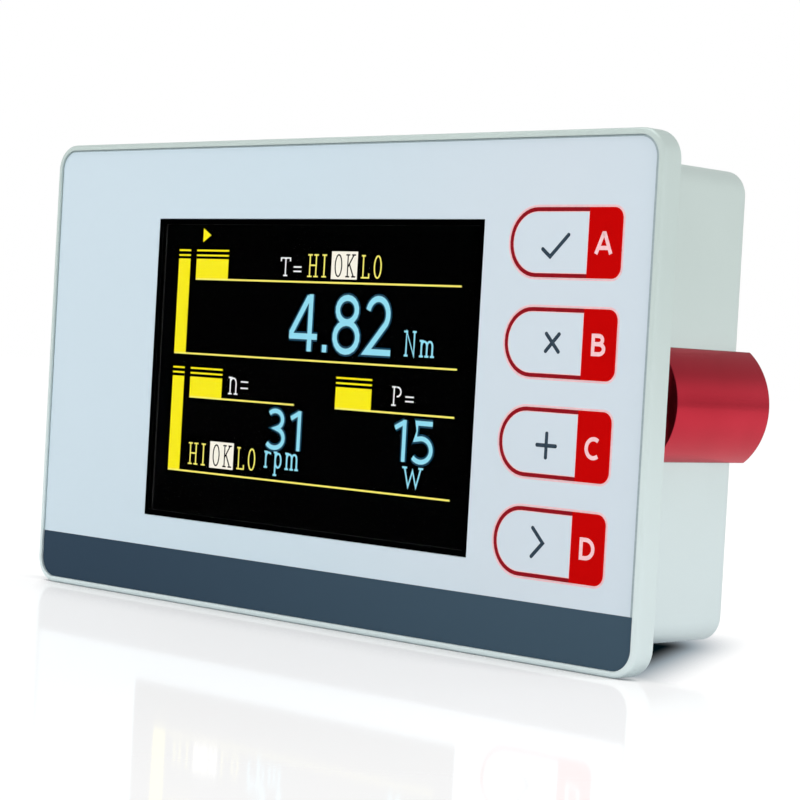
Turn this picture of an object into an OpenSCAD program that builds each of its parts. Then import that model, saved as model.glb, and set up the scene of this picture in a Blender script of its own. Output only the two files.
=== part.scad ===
// Panel meter that reads a rotary torque sensor: torque, speed and power on a colour display,
// four keys beside it, a shallow extruded housing behind, and a half-round clamp on each side.
// X runs to the right, Y runs back from the face and Z runs up. The origin is the middle of the
// footprint, so the meter stands on its bezel. Inside the modules Y is 0 at the front of the rim
// and X and Z are 0 at the middle of the face. All lengths are in millimetres.

/* [Front face] */
// Width of the bezel
face_w = 140; // [124:1:160]
// Height of the bezel
face_h = 80; // [70:1:96]
// Radius of the bezel's corners
face_r = 4.5; // [3:0.5:8]
// How far the bezel stands out past the housing all round
flange_w = 4; // [3:0.5:6]
// Depth of the bezel in front of the panel
bezel_d = 4.2; // [4.2:0.1:6]
// Width of the raised rim round the overlay
rim_w = 1; // [0.9:0.1:2]
// Rounding of the rim's outer front edge
rim_round = 0.6; // [0.2:0.1:0.8]
// Rounding of the bezel's rear edge
rear_round = 0.3; // [0.1:0.1:0.6]
// How far the overlay lies below the rim
overlay_drop = 0.4; // [0.2:0.1:0.7]
// Thickness of the overlay
overlay_t = 0.8; // [0.5:0.1:1]
// Thickness of the bezel plate behind the overlay
web_t = 2.2; // [1.9:0.1:2.4]
// Depth of the panel gasket and its groove
gasket_t = 0.7; // [0.4:0.1:0.8]
// Width of the panel gasket
gasket_w = 1.8; // [1:0.1:2]

/* [Display] */
// From the left edge of the face to the clear window
window_left = 29.15; // [20:0.05:36]
// From the top edge of the face to the window
window_top = 13.35; // [10:0.05:18]
// From the bottom edge of the face to the window
window_bottom = 14.55; // [12:0.05:20]
// From the window to the keys
window_clear = 5.3; // [4.6:0.1:9]
// How far the display glass reaches behind the overlay, past the window
glass_border = 1.65; // [1.4:0.05:2.4]
// Thickness of the display glass
glass_t = 1.6; // [1.2:0.1:2]
// Depth of the tray that holds the glass and its backlight
tray_d = 3.6; // [3.2:0.1:4]
// Wall of the tray round the glass
tray_wall = 1.2; // [0.8:0.1:1.4]

/* [Keys] */
// Width of a key
key_w = 21.9; // [18:0.1:22.5]
// From the right edge of the face to the keys
key_right = 6.95; // [5:0.05:9]
// From the top edge of the face to the first key
key_top = 11.4; // [7:0.1:14]
// From the bottom edge of the face to the last key
key_bottom = 12.8; // [10:0.1:16]
// Space from one key to the next
key_space = 4.2; // [3:0.1:5]
// Radius of a key's two square-end corners
key_corner_r = 1.8; // [1:0.1:3]
// Travel of a key
key_travel = 0.5; // [0.3:0.1:0.6]
// Gap between a key and the overlay
key_gap = 0.12; // [0.08:0.02:0.2]

/* [Housing] */
// Radius of the housing's long edges
body_r = 4; // [3:0.5:6]
// Depth of the housing behind the bezel
body_d = 21.4; // [20.6:0.1:28]
// Wall of the housing
wall = 1.6; // [1.2:0.1:2]
// Thickness of the rear cover
cover_t = 2; // [1.6:0.1:2.6]

/* [Side grooves] */
// Height of a groove's mouth
slot_mouth_h = 5; // [4.6:0.1:6]
// Height of a groove behind its lips
slot_head_h = 8.4; // [8:0.1:10]
// Thickness of a groove's lips
slot_lip_t = 1.4; // [1:0.1:1.8]
// Depth of a groove behind its lips
slot_head_d = 3.2; // [2.8:0.1:4]
// Wall round a groove inside the housing
slot_wall = 1.4; // [1:0.1:2]

/* [Side clamps] */
// Height of the half-round clamp
clamp_h = 17; // [12:0.5:20]
// Radius of the clamp's round side
clamp_r = 10.7; // [10.2:0.1:14]
// Length of a clamp
clamp_len = 22.9; // [22.4:0.1:26]
// Space between a clamp and the bezel
clamp_gap = 2.05; // [1.55:0.05:3]
// Length of the tongue that runs in the groove
tongue_len = 13; // [11:0.5:13.5]
// Travel of a clamp towards the bezel
clamp_forward = 1; // [0.4:0.1:1]
// Travel of a clamp away from the bezel
clamp_backward = 4; // [2:0.5:4]

/* [Terminals] */
// Number of screws in a terminal strip
poles = 10; // [6:1:10]
// Distance from one terminal to the next
pole_pitch = 7.62; // [7:0.01:8]
// Height of a terminal strip
strip_h = 12; // [11:0.5:13]
// How far the strips' ribs stand out of the rear cover
strip_proud = 1.2; // [0.6:0.1:2.5]
// From the top or bottom of the housing to the middle of the strip
strip_in = 14; // [12.5:0.5:15]

/* [Hidden] */
$fn = 64;

// Fits
overrun = 1;          // how far a cut runs past the faces it opens
slide_gap = 0.05;     // flat sliding faces
tongue_gap = 0.1;     // tongue in its groove
seat_gap = 0.05;      // loose flat seats
thread_gap = 0.05;    // a screw in its thread or a pin in its hole
shank_gap = 0.15;     // a screw in its clearance hole
cover_gap = 0.12;     // rear cover in the housing
part_gap = 0.3;       // pieces that stand beside each other
rear_gap = 0.15;      // a clamp's collar behind the housing at its foremost place

// The housing, which passes through the panel
body_w = face_w - 2 * flange_w;
body_h = face_h - 2 * flange_w;

// Places along the depth, from the front of the rim
web_front = overlay_drop + overlay_t;
web_back = web_front + web_t;
tape_t = 0.3;
glass_front = web_front + tape_t;
tray_back = glass_front + tray_d;
board_t = 1.6;
display_board_back = tray_back + board_t;
spacer_len = 6.5;
main_front = display_board_back + spacer_len;
main_back = main_front + board_t;
body_end = bezel_d + body_d;
cover_front = body_end - cover_t;
clamp_front = bezel_d + clamp_gap;
clamp_end = clamp_front + clamp_len;
overall_d = clamp_end;

// Keys and their switches
key_count = 4;
key_h = (face_h - key_top - key_bottom - (key_count - 1) * key_space) / key_count;
key_pitch = key_h + key_space;
key_x = face_w / 2 - key_right - key_w / 2;
key_row_z = (key_bottom - key_top) / 2;
key_flange = 0.6;
key_flange_t = 0.6;
key_flange_front = web_front + seat_gap;
key_stem_w = 6;
key_stem_h = 5;
key_reach = 2.4;        // from the back of the overlay to a switch's button
key_stem_back = web_front + key_reach;
pocket_spare = 0.25;
pocket_back = key_flange_front + key_flange_t + key_travel + pocket_spare;
switch_w = 6;
switch_t = 3.5;
button_r = 1.7;
button_proud = 0.9;
button_inside = 1.1;
switch_front = key_stem_back + button_proud;
keypad_front = switch_front + switch_t;
keypad_w = 14;
keypad_off = 0.4;       // from the middle of the keys to the middle of their board
keypad_edge = 6;
keypad_h = (key_count - 1) * key_pitch + 2 * keypad_edge;
keypad_post_in = 2.2;   // from the board's edge to a post's middle
keypad_post_off = keypad_w / 2 - keypad_post_in;
keypad_post_r = 1.8;

// Display stack
window_w = face_w - window_left - window_clear - key_w - key_right;
window_h = face_h - window_top - window_bottom;
window_x = (window_left - window_clear - key_w - key_right) / 2;
window_z = (window_bottom - window_top) / 2;
glass_w = window_w + 2 * glass_border;
glass_h = window_h + 2 * glass_border;
window_gap = 0.08;
tape_w = 2;
display_post_r = 2.2;
display_post_side = 2; // from the tray to a post
display_post_x = glass_w / 2 + tray_wall + display_post_side + display_post_r;
display_board_edge = 2.8;
display_board_rim = 3.3;
main_side = 10;        // from the housing's side to the main board
main_top = 5.5;        // from the housing's top to the main board
main_w = body_w - 2 * main_side;
main_h = body_h - 2 * main_top;

// Housing corners and spigot
channel_in = 4.6;
channel_r = 3;
spigot_t = 1.2;
spigot_len = 2.4;
spigot_gap = 0.1;

// Screws
m3_r = 1.5;
m3_head_r = 2.8;
m3_head_t = 1.5;
csk_r = 2.9;
csk_t = 1.4;
case_screw_skin = 0.7;  // metal left in front of the housing's screws
case_screw_tip = web_front + case_screw_skin;
m2_r = 1;
m2_head_r = 1.9;
m2_head_t = 1.3;
small_screw_len = 5;
drive_share = 0.4;    // recess of a screw head as a share of its radius
drive_t_share = 0.5;  // depth of that recess as a share of the head
cross_w_share = 0.28; // width of a cross recess's arms as a share of the head's radius

// Clamp mechanism
clamp_sag = clamp_r - sqrt(clamp_r * clamp_r - clamp_h * clamp_h / 4);
clamp_flat_x = body_w / 2 + slide_gap;
clamp_screw_in = 2.4;
clamp_screw_x = body_w / 2 - clamp_screw_in;
clamp_boss_r = 4.3;
boss_front = body_end + clamp_forward + rear_gap;
counterbore_t = m3_head_t;
tongue_front = clamp_end - tongue_len;
collar_t = 0.8;
collar_r = 2;
collar_gap = 0.1;
collar_front = tongue_front - collar_gap - collar_t;
rail_nut_len = 5;
rail_nut_back = collar_front - clamp_forward - 2 * collar_gap;
rail_pin_r = 0.6;
rail_pin_z = 3.4;
rail_pin_depth = 4;
thread_hold = 2.4;     // thread left in the nut when the clamp is furthest back
clamp_screw_tip = rail_nut_back - clamp_backward - thread_hold;

// Terminals
rib_t = 1.2;
terminal_t = 1;
terminal_w = 6;
strip_w = poles * pole_pitch + rib_t;
strip_z = body_h / 2 - strip_in;
post_side = 3.5;        // from a strip to the middle of a spacer, and on to the converter
display_post_z = strip_z - strip_h / 2 - post_side;
strip_back = body_end + strip_proud;
rib_d = 4;
strip_base_back = strip_back - rib_d;
back_rib_t = 1.6;
terminal_screw_len = 4;
terminal_head_t = 2;
terminal_head_r = 2.6;

// Board parts
module_w = 26;
module_h = 2 * (display_post_z - post_side);
module_space = 0.8;     // from the converter to the rear cover
module_t = cover_front - main_back - module_space;
module_left = 24;       // from the main board's end to the converter's middle
module_x = module_left - main_w / 2;
relay_w = 20;
relay_h = 11;
relay_space = 0.6;      // from a relay to the rear cover
relay_t = cover_front - main_back - relay_space;
relay_apart = 2;
relay_off = 36;         // from the converter's middle to the middle of the relays
relay_x = module_x + relay_off;
can_space = 2.2;        // from a capacitor to the rear cover
can_lift = 0.2;
can_r = (cover_front - main_back - can_lift - can_space) / 2;
can_len = 12;
can_off = 24;           // from the middle of the relays to the capacitors' ends
can_x = relay_x + can_off;
can_apart = 2.8;
can_z = can_r + can_apart / 2;
can_groove = 0.3;
chip_t = 1.5;
chip_leg = 0.4;
chip_leg_out = 1;
chip_leg_pitch = 1.27;
header_w = 5;
header_len = 13;
socket_w = 23;
socket_h = 5;
socket_t = 2;
ribbon_w = 20;
ribbon_t = 0.3;
ribbon_z = -12;
ribbon_in = 2;

// Colours
bezel_silver = [0.80, 0.85, 0.83];
overlay_pale = [0.84, 0.90, 0.94];
window_black = [0.03, 0.03, 0.04];
key_red = [0.80, 0.05, 0.06];
clamp_red = [0.68, 0.14, 0.20];
board_green = [0.05, 0.35, 0.20];
part_black = [0.10, 0.10, 0.11];
rubber_black = [0.06, 0.06, 0.06];
metal_grey = [0.70, 0.70, 0.72];
brass_gold = [0.78, 0.62, 0.30];

// Moves a part from the face's own frame to the footprint's frame
module on_foot() translate([0, -overall_d / 2, face_h / 2]) children();

// Extrudes an outline of the face straight back from a depth
module slab(front, depth) {
    translate([0, front + depth, 0])
        rotate([90, 0, 0])
            linear_extrude(depth)
                children();
}

// A round bar that runs straight back
module bar(x, z, front, depth, r) {
    translate([x, front + depth, z])
        rotate([90, 0, 0])
            cylinder(h = depth, r = r);
}

// A rectangle with round corners, about its middle
module round_rect(w, h, r) {
    square([w - 2 * r, h], center = true);
    square([w, h - 2 * r], center = true);
    for (side = [-1, 1], up = [-1, 1])
        translate([side * (w / 2 - r), up * (h / 2 - r)])
            circle(r);
}

// What a rounded edge takes off: its corner is at the origin, the stock towards -x and +y
module edge_cut(r) {
    difference() {
        translate([-r, -overrun])
            square([r + overrun, r + overrun]);
        translate([-r, r])
            circle(r);
    }
}

// Sweeps a section round a rectangle with round corners. The section's x runs outwards from
// the corners' middles and its y runs back.
module sweep_round(w, h, r) {
    for (side = [0, 1]) {
        mirror([side, 0, 0])
            translate([w / 2 - r, 0, 0])
                linear_extrude(h - 2 * r, center = true)
                    children();
        mirror([0, 0, side])
            translate([0, 0, h / 2 - r])
                rotate([0, -90, 0])
                    linear_extrude(w - 2 * r, center = true)
                        children();
        for (up = [0, 1])
            mirror([side, 0, 0])
                mirror([0, 0, up])
                    translate([w / 2 - r, 0, h / 2 - r])
                        rotate([90, 0, 0])
                            rotate_extrude(angle = 90)
                                mirror([0, 1])
                                    children();
    }
}

// The bezel's edge in section: the rim in front, round outside, and the flange behind it
module rim_section() {
    difference() {
        translate([face_r - rim_w, 0])
            square([rim_w, bezel_d]);
        translate([face_r, 0])
            edge_cut(rim_round);
        translate([face_r, bezel_d])
            mirror([0, 1])
                edge_cut(rear_round);
    }
}

// The four places of the housing's screws
module at_corners() {
    for (side = [-1, 1], up = [-1, 1])
        translate([side * (body_w / 2 - channel_in), up * (body_h / 2 - channel_in)])
            children();
}

// The solid corners that carry the housing's screws
module corner_channels(r) {
    intersection() {
        round_rect(body_w - wall, body_h - wall, body_r - wall / 2);
        for (side = [-1, 1], up = [-1, 1])
            translate([side * (body_w / 2 - channel_in), up * (body_h / 2 - channel_in)]) {
                circle(r);
                translate([side * channel_in / 2, up * channel_in / 2])
                    square(channel_in, center = true);
                translate([side * channel_in / 2, 0])
                    square([channel_in, 2 * r], center = true);
                translate([0, up * channel_in / 2])
                    square([2 * r, channel_in], center = true);
            }
    }
}

// The inside of the housing, with what its two groove rails take from it
module cavity(gap) {
    difference() {
        round_rect(body_w - 2 * wall - 2 * gap, body_h - 2 * wall - 2 * gap, body_r - wall - gap / 2);
        rails(gap);
    }
}

// The two rails inside the housing's sides, grown by a gap
module rails(gap) {
    rail_d = slot_lip_t + slot_head_d + slot_wall + gap;
    rail_h = slot_head_h + 2 * slot_wall + 2 * gap;
    for (side = [-1, 1])
        translate([side * (body_w / 2 - rail_d / 2 - wall / 4), 0])
            square([rail_d - wall / 2, rail_h], center = true);
}

// The T-shaped grooves in the rails
module grooves() {
    for (side = [-1, 1]) {
        translate([side * (body_w / 2 - slot_lip_t - slot_head_d / 2), 0])
            square([slot_head_d, slot_head_h], center = true);
        translate([side * (body_w / 2 - slot_lip_t / 2), 0])
            square([slot_lip_t + slot_head_d, slot_mouth_h], center = true);
    }
}

// Middle of key number i, counted from the top
function key_z(i) = key_row_z + ((key_count - 1) / 2 - i) * key_pitch;

// Outline of a key, round on the left and square on the right, grown by a gap
module key_outline(gap = 0) {
    nose_r = key_h / 2 + gap;
    corner = key_corner_r + gap;
    nose_x = -key_w / 2 + key_h / 2;
    right_x = key_w / 2 + gap;
    translate([nose_x, 0])
        circle(nose_r);
    translate([nose_x, -nose_r])
        square([right_x - corner - nose_x, 2 * nose_r]);
    translate([nose_x, corner - nose_r])
        square([right_x - nose_x, 2 * (nose_r - corner)]);
    for (up = [-1, 1])
        translate([right_x - corner, up * (nose_r - corner)])
            circle(corner);
}

// Puts an outline at every key
module at_keys() {
    for (i = [0 : key_count - 1])
        translate([key_x, key_z(i)])
            children();
}

// Puts an outline at the four posts behind the display
module at_display_posts() {
    for (side = [-1, 1], up = [-1, 1])
        translate([window_x + side * display_post_x, window_z + up * display_post_z])
            children();
}

// Puts an outline at the four posts behind the keys
module at_keypad_posts() {
    for (side = [-1, 1], up = [-1, 1])
        translate([key_x + keypad_off + side * keypad_post_off, key_row_z + up * key_pitch])
            children();
}

// A pan-head screw that points forwards, with a cross recess in its rear face
module pan_screw(seat, len, shank_r, head_r, head_t) {
    recess_t = head_t * drive_t_share;
    arm_w = head_r * cross_w_share;
    arm_len = 2 * head_r * (1 - drive_share);
    bar(0, 0, seat - len, len, shank_r);
    difference() {
        bar(0, 0, seat, head_t, head_r);
        for (turn = [0, 90])
            rotate([0, turn, 0])
                translate([-arm_len / 2, seat + head_t - recess_t, -arm_w / 2])
                    cube([arm_len, recess_t + overrun, arm_w]);
    }
}

// Bezel with its raised rim, the plate behind the overlay, key pockets, posts and spigot
module bezel_frame() color(bezel_silver) on_foot() {
    inner_w = face_w - rim_w;
    inner_h = face_h - rim_w;
    inner_r = face_r - rim_w / 2;
    difference() {
        union() {
            sweep_round(face_w, face_h, face_r) rim_section();
            slab(web_front, web_t) round_rect(inner_w, inner_h, inner_r);
            slab(web_back, bezel_d - web_back) difference() {
                round_rect(inner_w, inner_h, inner_r);
                cavity(0);
            }
            slab(web_back, bezel_d - web_back) corner_channels(channel_r);
            slab(web_back, bezel_d - web_back + spigot_len) difference() {
                cavity(spigot_gap);
                spigot_hollow();
                corner_channels(channel_r + part_gap);
            }
            slab(web_back, tray_back - web_back) at_display_posts() circle(display_post_r);
            slab(web_back, keypad_front - web_back) at_keypad_posts() circle(keypad_post_r);
        }
        slab(web_front - overrun, web_t + 2 * overrun)
            translate([window_x, window_z])
                square([glass_w + 2 * tray_wall + 2 * part_gap, glass_h + 2 * tray_wall + 2 * part_gap],
                    center = true);
        slab(web_front - overrun, pocket_back - web_front + overrun)
            at_keys() key_outline(key_flange + part_gap);
        slab(web_front, web_t + overrun)
            at_keys() square([key_stem_w + 2 * part_gap, key_stem_h + 2 * part_gap], center = true);
        slab(bezel_d - gasket_t, gasket_t + overrun) gasket_ring();
        slab(case_screw_tip, bezel_d) at_corners() circle(m3_r + thread_gap);
        slab(tray_back - small_screw_len / 2, small_screw_len) at_display_posts()
            circle(m2_r + thread_gap);
        slab(keypad_front - small_screw_len, small_screw_len + overrun) at_keypad_posts()
            circle(m2_r + thread_gap);
    }
}

// Outline of the gasket and its groove, round the middle of the bezel's flange
module gasket_ring() {
    difference() {
        round_rect(body_w + flange_w + gasket_w, body_h + flange_w + gasket_w,
            body_r + (flange_w + gasket_w) / 2);
        round_rect(body_w + flange_w - gasket_w, body_h + flange_w - gasket_w,
            body_r + (flange_w - gasket_w) / 2);
    }
}

// The hollow of the spigot, inside the cavity's outline
module spigot_hollow() {
    hollow_w = body_w - 2 * wall - 2 * spigot_gap - 2 * spigot_t;
    hollow_h = body_h - 2 * wall - 2 * spigot_gap - 2 * spigot_t;
    difference() {
        square([hollow_w, hollow_h], center = true);
        rails(spigot_gap + spigot_t);
    }
}

// Printed overlay, with openings for the window and the keys
module front_overlay() color(overlay_pale) on_foot() {
    slab(overlay_drop, overlay_t) difference() {
        round_rect(face_w - 2 * rim_w - 2 * seat_gap, face_h - 2 * rim_w - 2 * seat_gap,
            face_r - rim_w - seat_gap);
        translate([window_x, window_z])
            square([window_w, window_h], center = true);
        at_keys() key_outline(key_gap);
    }
}

// Clear window, flush with the overlay
module display_window() color(window_black) on_foot() {
    slab(overlay_drop, overlay_t)
        translate([window_x, window_z])
            square([window_w - 2 * window_gap, window_h - 2 * window_gap], center = true);
}

// Adhesive frame between the window and the display glass
module window_tape() color(rubber_black) on_foot() {
    slab(web_front, tape_t)
        translate([window_x, window_z])
            difference() {
                square([glass_w, glass_h], center = true);
                square([window_w - tape_w, window_h - tape_w], center = true);
            }
}

// Glass of the colour display
module display_glass() color(window_black) on_foot() {
    slab(glass_front, glass_t)
        translate([window_x, window_z])
            square([glass_w, glass_h], center = true);
}

// Tray that holds the glass, with the backlight behind it
module display_tray() color(metal_grey) on_foot() {
    translate([window_x, 0, window_z])
        difference() {
            slab(glass_front, tray_d)
                square([glass_w + 2 * tray_wall, glass_h + 2 * tray_wall], center = true);
            slab(glass_front - overrun, glass_t + overrun)
                square([glass_w + 2 * seat_gap, glass_h + 2 * seat_gap], center = true);
        }
}

// Board that carries the display, screwed to the four posts
module display_board() color(board_green) on_foot() {
    slab(tray_back, board_t) difference() {
        translate([window_x, window_z])
            square([2 * display_post_x + 2 * display_board_edge, glass_h + 2 * display_board_rim],
                center = true);
        at_display_posts() circle(m2_r + shank_gap);
    }
}

// One key: its face flush with the overlay, the flange that keeps it in and its stem
module key_piece(i) color(key_red) on_foot() {
    translate([key_x, 0, key_z(i)]) {
        slab(overlay_drop, key_flange_front - overlay_drop) key_outline();
        slab(key_flange_front, key_flange_t) key_outline(key_flange);
        slab(key_flange_front, key_stem_back - key_flange_front)
            square([key_stem_w, key_stem_h], center = true);
    }
}

// The button of one key's switch, which moves with the key
module switch_button(i) color(part_black) on_foot() {
    bar(key_x, key_z(i), key_stem_back, button_proud + button_inside, button_r);
}

// The four switches' bodies on the keypad board, open in front for their buttons
module switch_bodies() color(metal_grey) on_foot() {
    for (i = [0 : key_count - 1])
        difference() {
            slab(switch_front, switch_t)
                translate([key_x, key_z(i)])
                    square(switch_w, center = true);
            bar(key_x, key_z(i), switch_front - overrun,
                button_inside + key_travel + part_gap + overrun, button_r + shank_gap);
        }
}

// Board behind the keys
module keypad_board() color(board_green) on_foot() {
    slab(keypad_front, board_t) difference() {
        translate([key_x + keypad_off, key_row_z])
            square([keypad_w, keypad_h], center = true);
        at_keypad_posts() circle(m2_r + shank_gap);
    }
}

// Screws that hold the keypad board
module keypad_screws() color(metal_grey) on_foot() {
    for (side = [-1, 1], up = [-1, 1])
        translate([key_x + keypad_off + side * keypad_post_off, 0, key_row_z + up * key_pitch])
            pan_screw(keypad_front + board_t, small_screw_len, m2_r, m2_head_r, m2_head_t);
}

// Header that joins the keypad board to the main board
module keypad_header() color(part_black) on_foot() {
    slab(keypad_front + board_t, main_front - keypad_front - board_t)
        translate([key_x, key_row_z])
            square([header_w, header_len], center = true);
}

// Hexagonal spacers behind the display board, each with a stud into its post
module board_spacers() color(brass_gold) on_foot() {
    for (side = [-1, 1], up = [-1, 1])
        translate([window_x + side * display_post_x, 0, window_z + up * display_post_z])
            difference() {
                union() {
                    translate([0, main_front, 0])
                        rotate([90, 0, 0])
                            cylinder(h = spacer_len, r = display_post_r, $fn = 6);
                    bar(0, 0, tray_back - small_screw_len / 2, small_screw_len / 2 + board_t, m2_r);
                }
                bar(0, 0, main_front - small_screw_len, small_screw_len + overrun, m2_r + thread_gap);
            }
}

// Screws that hold the main board to the spacers
module spacer_screws() color(metal_grey) on_foot() {
    for (side = [-1, 1], up = [-1, 1])
        translate([window_x + side * display_post_x, 0, window_z + up * display_post_z])
            pan_screw(main_back, small_screw_len, m2_r, m2_head_r, m2_head_t);
}

// Main board
module main_board() color(board_green) on_foot() {
    slab(main_front, board_t) difference() {
        square([main_w, main_h], center = true);
        at_display_posts() circle(m2_r + shank_gap);
    }
}

// Flat ribbon that bends once between the display board and the main board
module display_cable() color(brass_gold) on_foot() {
    mid = (display_board_back + main_front) / 2;
    bend = (main_front - display_board_back) / 2 - socket_t / 2;
    translate([window_x, mid, ribbon_z])
        rotate([90, 0, 90])
            linear_extrude(ribbon_w, center = true) {
                intersection() {
                    difference() {
                        circle(bend + ribbon_t / 2);
                        circle(bend - ribbon_t / 2);
                    }
                    translate([-2 * bend, -2 * bend])
                        square([4 * bend, 2 * bend]);
                }
                for (side = [-1, 1])
                    translate([side * bend - ribbon_t / 2, 0])
                        square([ribbon_t, ribbon_in]);
            }
}

// The ribbon's two sockets
module cable_sockets() color(part_black) on_foot() {
    for (front = [display_board_back, main_front - socket_t])
        difference() {
            slab(front, socket_t)
                translate([window_x, ribbon_z + socket_h / 2])
                    square([socket_w, socket_h], center = true);
            translate([window_x, front + socket_t / 2, ribbon_z])
                cube([ribbon_w + part_gap, ribbon_t + part_gap, 2 * (ribbon_in + part_gap)],
                    center = true);
        }
}

// Sealed power converter
module power_module() color(part_black) on_foot() {
    slab(main_back, module_t)
        translate([module_x, 0])
            round_rect(module_w, module_h, can_groove);
}

// Two relays for the high and low alarms
module alarm_relays() color(part_black) on_foot() {
    for (side = [-1, 1])
        slab(main_back, relay_t)
            translate([relay_x + side * (relay_w + relay_apart) / 2, 0])
                round_rect(relay_w, relay_h, can_groove);
}

// Two filter capacitors, lying on the main board
module filter_capacitors() color(metal_grey) on_foot() {
    for (up = [-1, 1])
        translate([can_x, main_back + can_r + can_lift, up * can_z])
            rotate([0, 90, 0])
                rotate_extrude()
                    difference() {
                        square([can_r, can_len]);
                        translate([can_r, can_len - can_r / 2])
                            circle(can_groove);
                    }
}

// A chip with legs along its two long sides, on the front of the main board
module chip(x, z, w, h) {
    legs = floor(w / chip_leg_pitch) - 1;
    slab(main_front - chip_t, chip_t)
        translate([x, z]) {
            square([w, h], center = true);
            for (i = [0 : legs - 1])
                translate([(i - (legs - 1) / 2) * chip_leg_pitch, 0])
                    square([chip_leg, h + 2 * chip_leg_out], center = true);
        }
}

// Processor and sensor amplifier
module board_chips() color(part_black) on_foot() {
    processor_w = 14;
    amplifier_w = 10;
    amplifier_h = 6;
    chip(module_x, processor_w, processor_w, processor_w);
    chip(module_x, -processor_w, amplifier_w, amplifier_h);
}

// A barrier terminal strip: base block, ribs between the screws and a rib along one side
module terminal_strip(up) color(part_black) on_foot() {
    translate([0, 0, up * strip_z])
        difference() {
            union() {
                slab(main_back, strip_base_back - main_back)
                    square([strip_w, strip_h], center = true);
                slab(strip_base_back, rib_d) {
                    for (i = [0 : poles])
                        translate([(i - poles / 2) * pole_pitch, 0])
                            square([rib_t, strip_h], center = true);
                    translate([0, up * (back_rib_t - strip_h) / 2])
                        square([strip_w, back_rib_t], center = true);
                }
            }
            for (i = [0 : poles - 1])
                bar((i - (poles - 1) / 2) * pole_pitch, up * back_rib_t / 2,
                    strip_base_back - terminal_screw_len - seat_gap,
                    terminal_screw_len + overrun, m3_r + thread_gap);
        }
}

// Puts a piece at every terminal screw of both strips
module at_terminals() {
    for (up = [-1, 1], i = [0 : poles - 1])
        translate([(i - (poles - 1) / 2) * pole_pitch, 0, up * (strip_z + back_rib_t / 2)])
            children();
}

// Square washers under the terminal screws
module terminal_washers() color(metal_grey) on_foot() {
    at_terminals()
        slab(strip_base_back, terminal_t) difference() {
            square(terminal_w, center = true);
            circle(m3_r + shank_gap);
        }
}

// Terminal screws
module terminal_screws() color(metal_grey) on_foot() {
    at_terminals()
        pan_screw(strip_base_back + terminal_t, terminal_screw_len + terminal_t, m3_r,
            terminal_head_r, terminal_head_t);
}

// Seal in the bezel's rear, drawn level with it as when a panel presses it in
module panel_gasket() color(rubber_black) on_foot() {
    slab(bezel_d - gasket_t, gasket_t) gasket_ring();
}

// Extruded housing: outer wall, screw channels in the corners and a groove in each side
module housing_sleeve() color(bezel_silver) on_foot() {
    difference() {
        slab(bezel_d, body_d) difference() {
            union() {
                difference() {
                    round_rect(body_w, body_h, body_r);
                    round_rect(body_w - 2 * wall, body_h - 2 * wall, body_r - wall);
                }
                rails(0);
                corner_channels(channel_r);
            }
            grooves();
            at_corners() circle(m3_r + shank_gap);
        }
        slab(cover_front, cover_t + overrun) cavity(0);
        for (side = [0, 1], up = [-1, 1])
            mirror([side, 0, 0])
                rail_pin(up, thread_gap, overrun);
    }
}

// Rear cover, set into the end of the housing
module rear_cover() color(bezel_silver) on_foot() {
    difference() {
        slab(cover_front, cover_t) difference() {
            cavity(cover_gap);
            for (up = [-1, 1])
                translate([0, up * strip_z])
                    square([strip_w + 2 * part_gap, strip_h + 2 * part_gap], center = true);
        }
        for (side = [-1, 1], up = [-1, 1])
            translate([side * (body_w / 2 - channel_in), 0, up * (body_h / 2 - channel_in)]) {
                bar(0, 0, cover_front - overrun, cover_t + 2 * overrun, m3_r + shank_gap);
                countersink(csk_r + thread_gap, csk_t + thread_gap);
            }
    }
}

// The cone of a flat head whose rim is flush with the rear cover
module countersink(r, depth) {
    translate([0, body_end, 0])
        rotate([90, 0, 0])
            cylinder(h = depth, r1 = r, r2 = m3_r);
}

// Screws that hold the rear cover and the housing to the bezel
module case_screws() color(metal_grey) on_foot() {
    for (side = [-1, 1], up = [-1, 1])
        translate([side * (body_w / 2 - channel_in), 0, up * (body_h / 2 - channel_in)])
            difference() {
                union() {
                    bar(0, 0, case_screw_tip + part_gap, body_end - case_screw_tip - part_gap, m3_r);
                    countersink(csk_r, csk_t);
                }
                for (turn = [0, 90])
                    rotate([0, turn, 0])
                        translate([-m3_r, body_end - csk_t * drive_t_share, -m3_r * cross_w_share])
                            cube([2 * m3_r, csk_t, 2 * m3_r * cross_w_share]);
            }
}

// One pin that holds a nut in its groove, with its hole when grown by a gap
module rail_pin(up, gap, past) {
    translate([body_w / 2 - rail_pin_depth - gap, rail_nut_back - rail_nut_len / 2, up * rail_pin_z])
        rotate([0, 90, 0])
            cylinder(h = rail_pin_depth + past, r = rail_pin_r + gap);
}

// Nuts fixed in the grooves, which draw the clamps forwards
module rail_nuts() color(metal_grey) on_foot() {
    for (side = [0, 1])
        mirror([side, 0, 0])
            difference() {
                slab(rail_nut_back - rail_nut_len, rail_nut_len) {
                    translate([body_w / 2 - slot_lip_t - slot_head_d / 2, 0])
                        square([slot_head_d - 2 * seat_gap, slot_head_h - 2 * seat_gap], center = true);
                    translate([body_w / 2 - slot_lip_t, 0])
                        square([2 * (slot_lip_t - 2 * seat_gap), slot_mouth_h - 2 * seat_gap],
                            center = true);
                }
                bar(clamp_screw_x, 0, rail_nut_back - rail_nut_len - overrun,
                    rail_nut_len + 2 * overrun, m3_r + thread_gap);
                for (up = [-1, 1])
                    rail_pin(up, thread_gap, 0);
            }
}

// Pins through the housing's sides into the nuts
module rail_pins() color(metal_grey) on_foot() {
    for (side = [0, 1], up = [-1, 1])
        mirror([side, 0, 0])
            rail_pin(up, 0, -seat_gap);
}

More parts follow.
